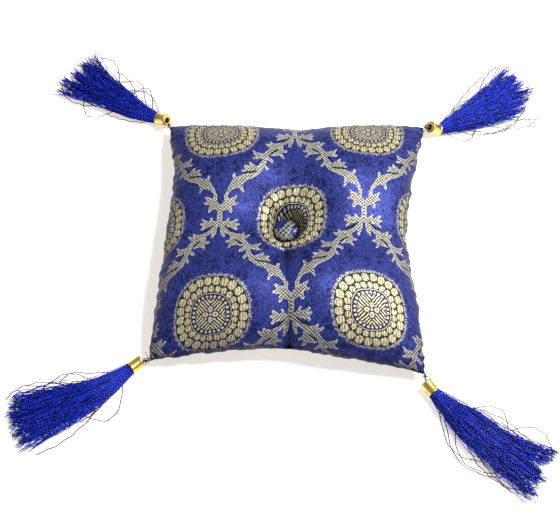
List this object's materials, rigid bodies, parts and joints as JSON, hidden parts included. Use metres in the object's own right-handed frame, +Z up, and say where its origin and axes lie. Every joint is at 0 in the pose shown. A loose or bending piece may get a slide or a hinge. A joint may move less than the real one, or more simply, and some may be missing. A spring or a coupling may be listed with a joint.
{
  "type": "tasselled cushion",
  "caption": "Small square filled cushion of woven brocade with a sunk covered button, its sides drawn in between pointed corners, each with a tied-on tassel in a metal cap.",
  "frame": {"origin": "on the surface that the cushion lies on, in the middle of the footprint of the cushion and its tassels", "axes": "+Z up through the cushion's thickness, +X to the right along the front side, +Y to the back side"},
  "size_m": [0.3859, 0.3645, 0.0469],
  "materials": {
    "brocade": "silky woven brocade, royal blue ground with dull gold medallions and leafy trellis",
    "tassel_thread": "glossy royal blue viscose thread",
    "cap_metal": "bright gold-coloured plated metal",
    "tie_thread": "dark blue sewing thread"
  },
  "bodies": {
    "root": {"cushion_body": "brocade", "button": "brocade", "cap_front_left": "cap_metal", "cap_front_right": "cap_metal", "cap_back_left": "cap_metal", "cap_back_right": "cap_metal", "skirt_front_left": "tassel_thread", "skirt_front_right": "tassel_thread", "skirt_back_left": "tassel_thread", "skirt_back_right": "tassel_thread", "tie_front_left": "tie_thread", "tie_front_right": "tie_thread", "tie_back_left": "tie_thread", "tie_back_right": "tie_thread"}
  },
  "joints": []
}
